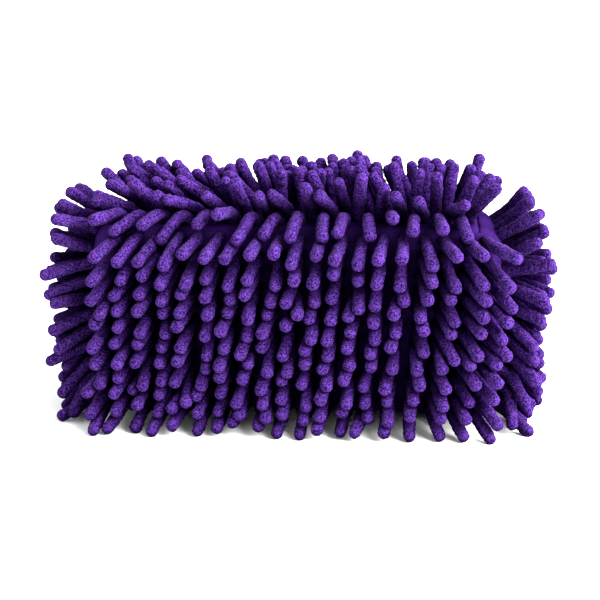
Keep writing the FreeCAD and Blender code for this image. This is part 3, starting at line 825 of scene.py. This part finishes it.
def pocket_surface(x, across):
    """The pocket's outer side at a length and a share across, from -1 at the bottom to 1 at the top."""
    share = np.clip((x - CUFF_LOW.x) / (PANEL_HIGH.x - CUFF_LOW.x), 0, 1)
    dome = 1 - across**2
    from_edge = 1 - np.abs(across)
    rise = MOUTH_RISE + (END_RISE - MOUTH_RISE) * share**0.9
    height = rise * dome * (1 + 0.06 * np.sin(2.2 * across + 1.0))
    near_mouth = np.exp(-((x - CUFF_LOW.x - CUFF_DEEP) / GATHERS_REACH))
    folds = GATHERS * np.sin(across * 34 + 2.2 * np.sin(across * 5)) * near_mouth * (1 - across**4)
    folds = folds + PULLS * np.sin(share * 9 + across * 3.4) * dome * np.sin(np.pi * share)
    folds = folds + PUCKERS * np.sin(x / PUCKERS_SPAN) * np.exp(-from_edge / PUCKERS_WIDTH) * from_edge
    y = SEAT_Y + POCKET_CLOTH + height + folds * np.clip(rise / FULL_FOLDS, 0, 1)
    z = CENTRE_Z + across * HALF_POCKET - SAG * dome * (1 - share)
    return np.stack([np.broadcast_to(x, y.shape), y, z], -1)


def half_name(side):
    return "upper" if side > 0 else "lower"


INTO_CUFF = 3 * MM
PLUSH_GRAIN, PLUSH_DEPTH = 1.6 * MM, 0.22 * MM


def pocket_half(side):
    """The upper (1) or lower (-1) half of the cloth over the hand, sewn down along its edge."""
    steps_x, steps_across = ((150, 60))
    x = np.linspace(CUFF_LOW.x + CUFF_DEEP - INTO_CUFF, PANEL_HIGH.x, steps_x)
    across = np.linspace(0, side, steps_across)
    grid_x, grid_across = np.meshgrid(x, across, indexing="ij")
    grid = pocket_surface(grid_x, grid_across)
    plush = roughened(grid, PLUSH_GRAIN, PLUSH_DEPTH)
    grid[..., 1] += plush * np.clip((1 - np.abs(grid_across)) * 8, 0, 1)
    if side > 0:
        grid = grid[::-1]
    piece = cloth_shell(f"pocket_cloth_{half_name(side)}", grid, POCKET_CLOTH, PLUSH)
    ride_pocket(piece)
    return piece


def ride_pocket(piece):
    """Keeps the piece where it lies, with its placement baked into its points."""
    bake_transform(piece)


def cuff_line(across):
    """The middle of the cuff at each share across, and the way out from the back there."""
    spot = pocket_surface(np.full_like(across, CUFF_MIDDLE), across)
    step = np.gradient(spot, axis=0)
    step[:, 0] = 0
    step /= np.linalg.norm(step, axis=1, keepdims=True)
    out = np.cross(step, [1.0, 0, 0])
    out *= np.sign(out[:, 1:2] + 1e-9)
    return spot - out * POCKET_CLOTH / 2, out


CUFF_HALF_THICK, CUFF_WALL = 1.75 * MM, 0.7 * MM
GATHER_DEPTH, GATHER_SPAN = 0.38 * MM, 0.62 * MM


def cuff_half(side):
    """Half of the folded binding, gathered by its elastic, as a hollow tube with closed ends."""
    stations, around = ((170, 32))
    across = np.linspace(0, side, stations)
    centre, out = cuff_line(across)
    fade = np.clip((1 - np.abs(across)) * 9, 0, 1) * np.clip(np.abs(across) * 12, 0, 1)
    ripple = np.sin(across * HALF_POCKET / GATHER_SPAN + 1.3 * np.sin(across * 11))
    ripple = GATHER_DEPTH * ripple * fade
    theta = np.arange(around) * 2 * math.pi / around
    cos, sin = np.cos(theta), np.sin(theta)
    loops = []
    for wall in (0.0, CUFF_WALL):
        half_x, half_out = CUFF_DEEP / 2 - wall, CUFF_HALF_THICK - wall
        shape_x = np.sign(cos) * np.abs(cos) ** 0.6 * half_x
        shape_out = np.sign(sin) * np.abs(sin) ** 0.8 * half_out
        swell = 1 + np.outer(ripple / half_out, np.abs(sin))
        loop = centre[:, None, :] + out[:, None, :] * (shape_out[None, :] * swell)[..., None]
        loop[..., 0] = CUFF_MIDDLE + shape_x[None, :] + 0.3 * np.outer(ripple, np.sign(shape_x))
        loops.append(loop)
    outer, inner = loops
    count = stations * around
    faces = [
        grid_faces(stations, around, 0, True, side < 0),
        grid_faces(stations, around, count, True, side > 0),
    ]
    column = np.arange(around)
    following = (column + 1) % around
    for base, flip in ((0, side < 0), ((stations - 1) * around, side > 0)):
        outside, inside = base, base + count
        cap = [outside + column, outside + following, inside + following, inside + column]
        cap = np.stack(cap, -1)
        faces.append(cap[:, ::-1] if flip else cap)
    points = np.concatenate([outer.reshape(-1, 3), inner.reshape(-1, 3)])
    piece = mesh_piece(f"cuff_{half_name(side)}", points, faces, RIB_KNIT)
    weld(piece, 1e-9)
    ride_pocket(piece)
    return piece


ELASTIC_WIDTH, ELASTIC_THICK = 9 * MM, 0.9 * MM
ELASTIC_RIBS, RIB_HEIGHT = 13, 0.06 * MM


def elastic_half(side):
    """Half of the elastic strip inside the cuff, ribbed on both faces."""
    across = np.linspace(0, side * 0.985, 90)
    centre, out = cuff_line(across)
    rib = np.arange(ELASTIC_RIBS)
    face_x = np.linspace(-1, 1, ELASTIC_RIBS) * ELASTIC_WIDTH / 2
    face_out = ELASTIC_THICK / 2 + RIB_HEIGHT * np.where(rib % 2, 1, -1)
    section_x = np.concatenate([face_x, face_x[::-1]])
    section_out = np.concatenate([face_out, -face_out[::-1]])
    grid = centre[:, None, :] + out[:, None, :] * section_out[None, :, None]
    grid[..., 0] = CUFF_MIDDLE + section_x
    rows, columns = grid.shape[:2]
    faces = [grid_faces(rows, columns, 0, True, side < 0)]
    near = rib[:-1]
    far = columns - 1 - near
    for base, flip in ((0, side > 0), ((rows - 1) * columns, side < 0)):
        cap = base + np.stack([near, near + 1, far - 1, far], -1)
        faces.append(cap[:, ::-1] if flip else cap)
    piece = mesh_piece(f"elastic_{half_name(side)}", grid.reshape(-1, 3), faces, ELASTIC)
    weld(piece, 1e-9)
    ride_pocket(piece)
    return piece


CUFF_STITCH_IN, CUFF_STITCH_OUT = 2.6 * MM, 1.72 * MM
END_STITCH_IN, END_STITCH_OUT = 2.2 * MM, 0.3 * MM


def cuff_stitch_half(side):
    """Half of the stitch row that closes the cuff over the cloth's edge."""
    across = np.linspace(side * 0.004, side * 0.97, 200)
    centre, out = cuff_line(across)
    path = centre + out * CUFF_STITCH_OUT
    path[:, 0] = CUFF_HIGH.x - CUFF_STITCH_IN
    piece = stitches(f"cuff_stitches_{half_name(side)}", path, length=2.2 * MM, gap=0.8 * MM)
    ride_pocket(piece)
    return piece


def pocket_end_stitches():
    """The stitch row that holds the cloth down: along its lower edge, closed end and upper edge."""
    edge = 1 - END_STITCH_IN / HALF_POCKET
    end_x = PANEL_HIGH.x - END_STITCH_IN
    along = np.linspace(CUFF_HIGH.x + END_STITCH_IN, end_x, 240)
    lower_edge = pocket_surface(along, np.full_like(along, -edge))
    closed_end = pocket_surface(np.full(160, end_x), np.linspace(-1, 1, 160) * edge)
    upper_edge = pocket_surface(along[::-1], np.full_like(along, edge))
    path = np.concatenate([lower_edge, closed_end, upper_edge])
    path[:, 1] += END_STITCH_OUT
    piece = stitches("pocket_end_stitches", path)
    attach(piece, MITT)
    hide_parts("pocket_end_stitching")


def hand_pocket():
    halves = [pocket_half(side) for side in (1, -1)]
    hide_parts("pocket_panel")
    cuffs = [cuff_half(side) for side in (1, -1)]
    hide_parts("cuff_band")
    elastics = [elastic_half(side) for side in (1, -1)]
    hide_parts("cuff_elastic")
    rows = [cuff_stitch_half(side) for side in (1, -1)]
    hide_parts("cuff_stitching")
    pocket_end_stitches()


LABEL_CLOTH, LABEL_GAP = 0.12 * MM, 0.28 * MM
LABEL_DROOP, LABEL_CURL, LABEL_IN_SEAM = 3.2 * MM, 0.7 * MM, 1.0 * MM


def care_label():
    """A blank satin label, folded double and caught in the back seam."""
    low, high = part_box("care_label")
    depth = high.y - low.y
    around = np.linspace(0, 1, 41)
    reach = 1 - np.abs(2 * around - 1)
    layer = np.where(around < 0.5, 1, -1) * LABEL_GAP * np.sin(np.pi * reach) ** 0.5
    x = np.linspace(low.x, high.x, 25)
    curl = np.sin((x - low.x) / (high.x - low.x) * 3.1 + 0.4)
    grid = np.empty((len(around), len(x), 3))
    grid[..., 0] = x
    grid[..., 1] = (low.y - LABEL_IN_SEAM + reach * depth)[:, None]
    grid[..., 2] = ((low.z + high.z) / 2 + layer - LABEL_DROOP * reach**2)[:, None]
    grid[..., 2] += np.outer(reach**2, curl) * LABEL_CURL
    piece = cloth_shell("care_label_loop", grid, LABEL_CLOTH, SATIN)
    fix_to_mitt(piece, "care_label")


# --- Stage ----------------------------------------------------------------------------------


def floor():
    size = 6.0
    corners = [(-size, -size, 0), (size, -size, 0), (size, size, 0), (-size, size, 0)]
    n = Nodes("pale_floor")
    material = n.finish(n.ramp(n.noise(3, 2), (0.3, 0.9), (0.7, 0.92)), 0.8)
    piece = mesh_piece("floor", corners, [[[0, 1, 2, 3]]], material, False)


def soft_light(name, place, target, size, power):
    data = bpy.data.lights.new(name, "AREA")
    data.shape = "RECTANGLE"
    data.size, data.size_y = size
    data.energy = power
    lamp = bpy.data.objects.new(name, data)
    lamp.location = place
    lamp.rotation_euler = (Vector(target) - Vector(place)).to_track_quat("-Z", "Y").to_euler()
    bpy.context.scene.collection.objects.link(lamp)


def studio():
    """An even white world and two soft lamps from the right."""
    world = bpy.data.worlds.new("studio")
    world.use_nodes = True
    world.node_tree.nodes["Background"].inputs["Color"].default_value = (1, 1, 1, 1)
    world.node_tree.nodes["Background"].inputs["Strength"].default_value = 1.7
    bpy.context.scene.world = world
    middle = (0, 0, 0.06)
    soft_light("key", (1.1, -1.0, 0.95), middle, (1.0, 1.0), 108)
    soft_light("side", (1.45, 0.1, 0.7), middle, (1.0, 1.0), 150)
    bpy.context.scene.view_settings.view_transform = "Standard"


# The photograph's view: degrees round to the right and up, distance and aim in metres, lens in mm.
YAW, RISE, DISTANCE, LENS = 5.0, 13.0, 0.66, 80.0
AIM = (0.0, 0.0, 0.0545)


def camera():
    data = bpy.data.cameras.new("camera")
    data.lens = LENS
    data.clip_start = 0.01
    data.clip_end = 50
    eye = bpy.data.objects.new("camera", data)
    yaw, rise = math.radians(YAW), math.radians(RISE)
    away = Vector((math.sin(yaw) * math.cos(rise), -math.cos(yaw) * math.cos(rise), math.sin(rise)))
    aim = Vector(AIM)
    eye.location = aim + away * DISTANCE
    eye.rotation_euler = (aim - eye.location).to_track_quat("-Z", "Y").to_euler()
    bpy.context.scene.collection.objects.link(eye)
    bpy.context.scene.camera = eye


camera()
floor()
studio()
foam_core()
cover()
seam_threads()
hand_pocket()
care_label()
for number, node in enumerate(name for name in NODES if "_noodles_" in name):
    noodle_piece(node, CHENILLE, 100 + number)
